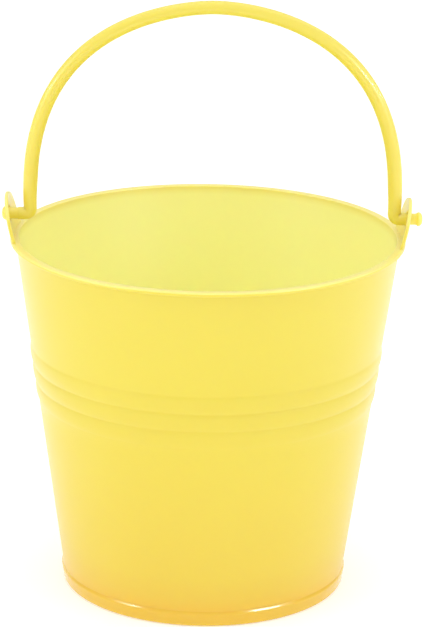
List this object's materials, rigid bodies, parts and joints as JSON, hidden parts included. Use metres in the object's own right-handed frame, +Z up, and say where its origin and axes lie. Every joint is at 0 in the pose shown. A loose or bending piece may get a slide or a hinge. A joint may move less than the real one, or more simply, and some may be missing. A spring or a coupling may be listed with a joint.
{
  "type": "sand bucket",
  "caption": "Tapered sand bucket moulded in translucent plastic, with a flanged rim, ribbed band, foot ring and a bail handle that swings in two rim ears.",
  "frame": {"origin": "on the pail's axis, in the plane that its foot ring stands on", "axes": "+Z up along the pail's axis; the ears and the bail's pegs lie along X; the bail swings towards +Y or -Y"},
  "size_m": [0.1592, 0.15, 0.2279],
  "materials": {
    "pail_plastic": "glossy translucent yellow polypropylene",
    "bail_plastic": "glossy yellow polypropylene, thicker and so a little deeper in colour"
  },
  "bodies": {
    "pail": {"pail": "pail_plastic"},
    "bail": {"bail_handle": "bail_plastic"}
  },
  "joints": [
    {"name": "bail_swing", "type": "hinge", "parent": "pail", "child": "bail", "pos_m": [0, 0, 0.145], "axis": [1, 0, 0], "range_deg": [-90, 90]}
  ]
}
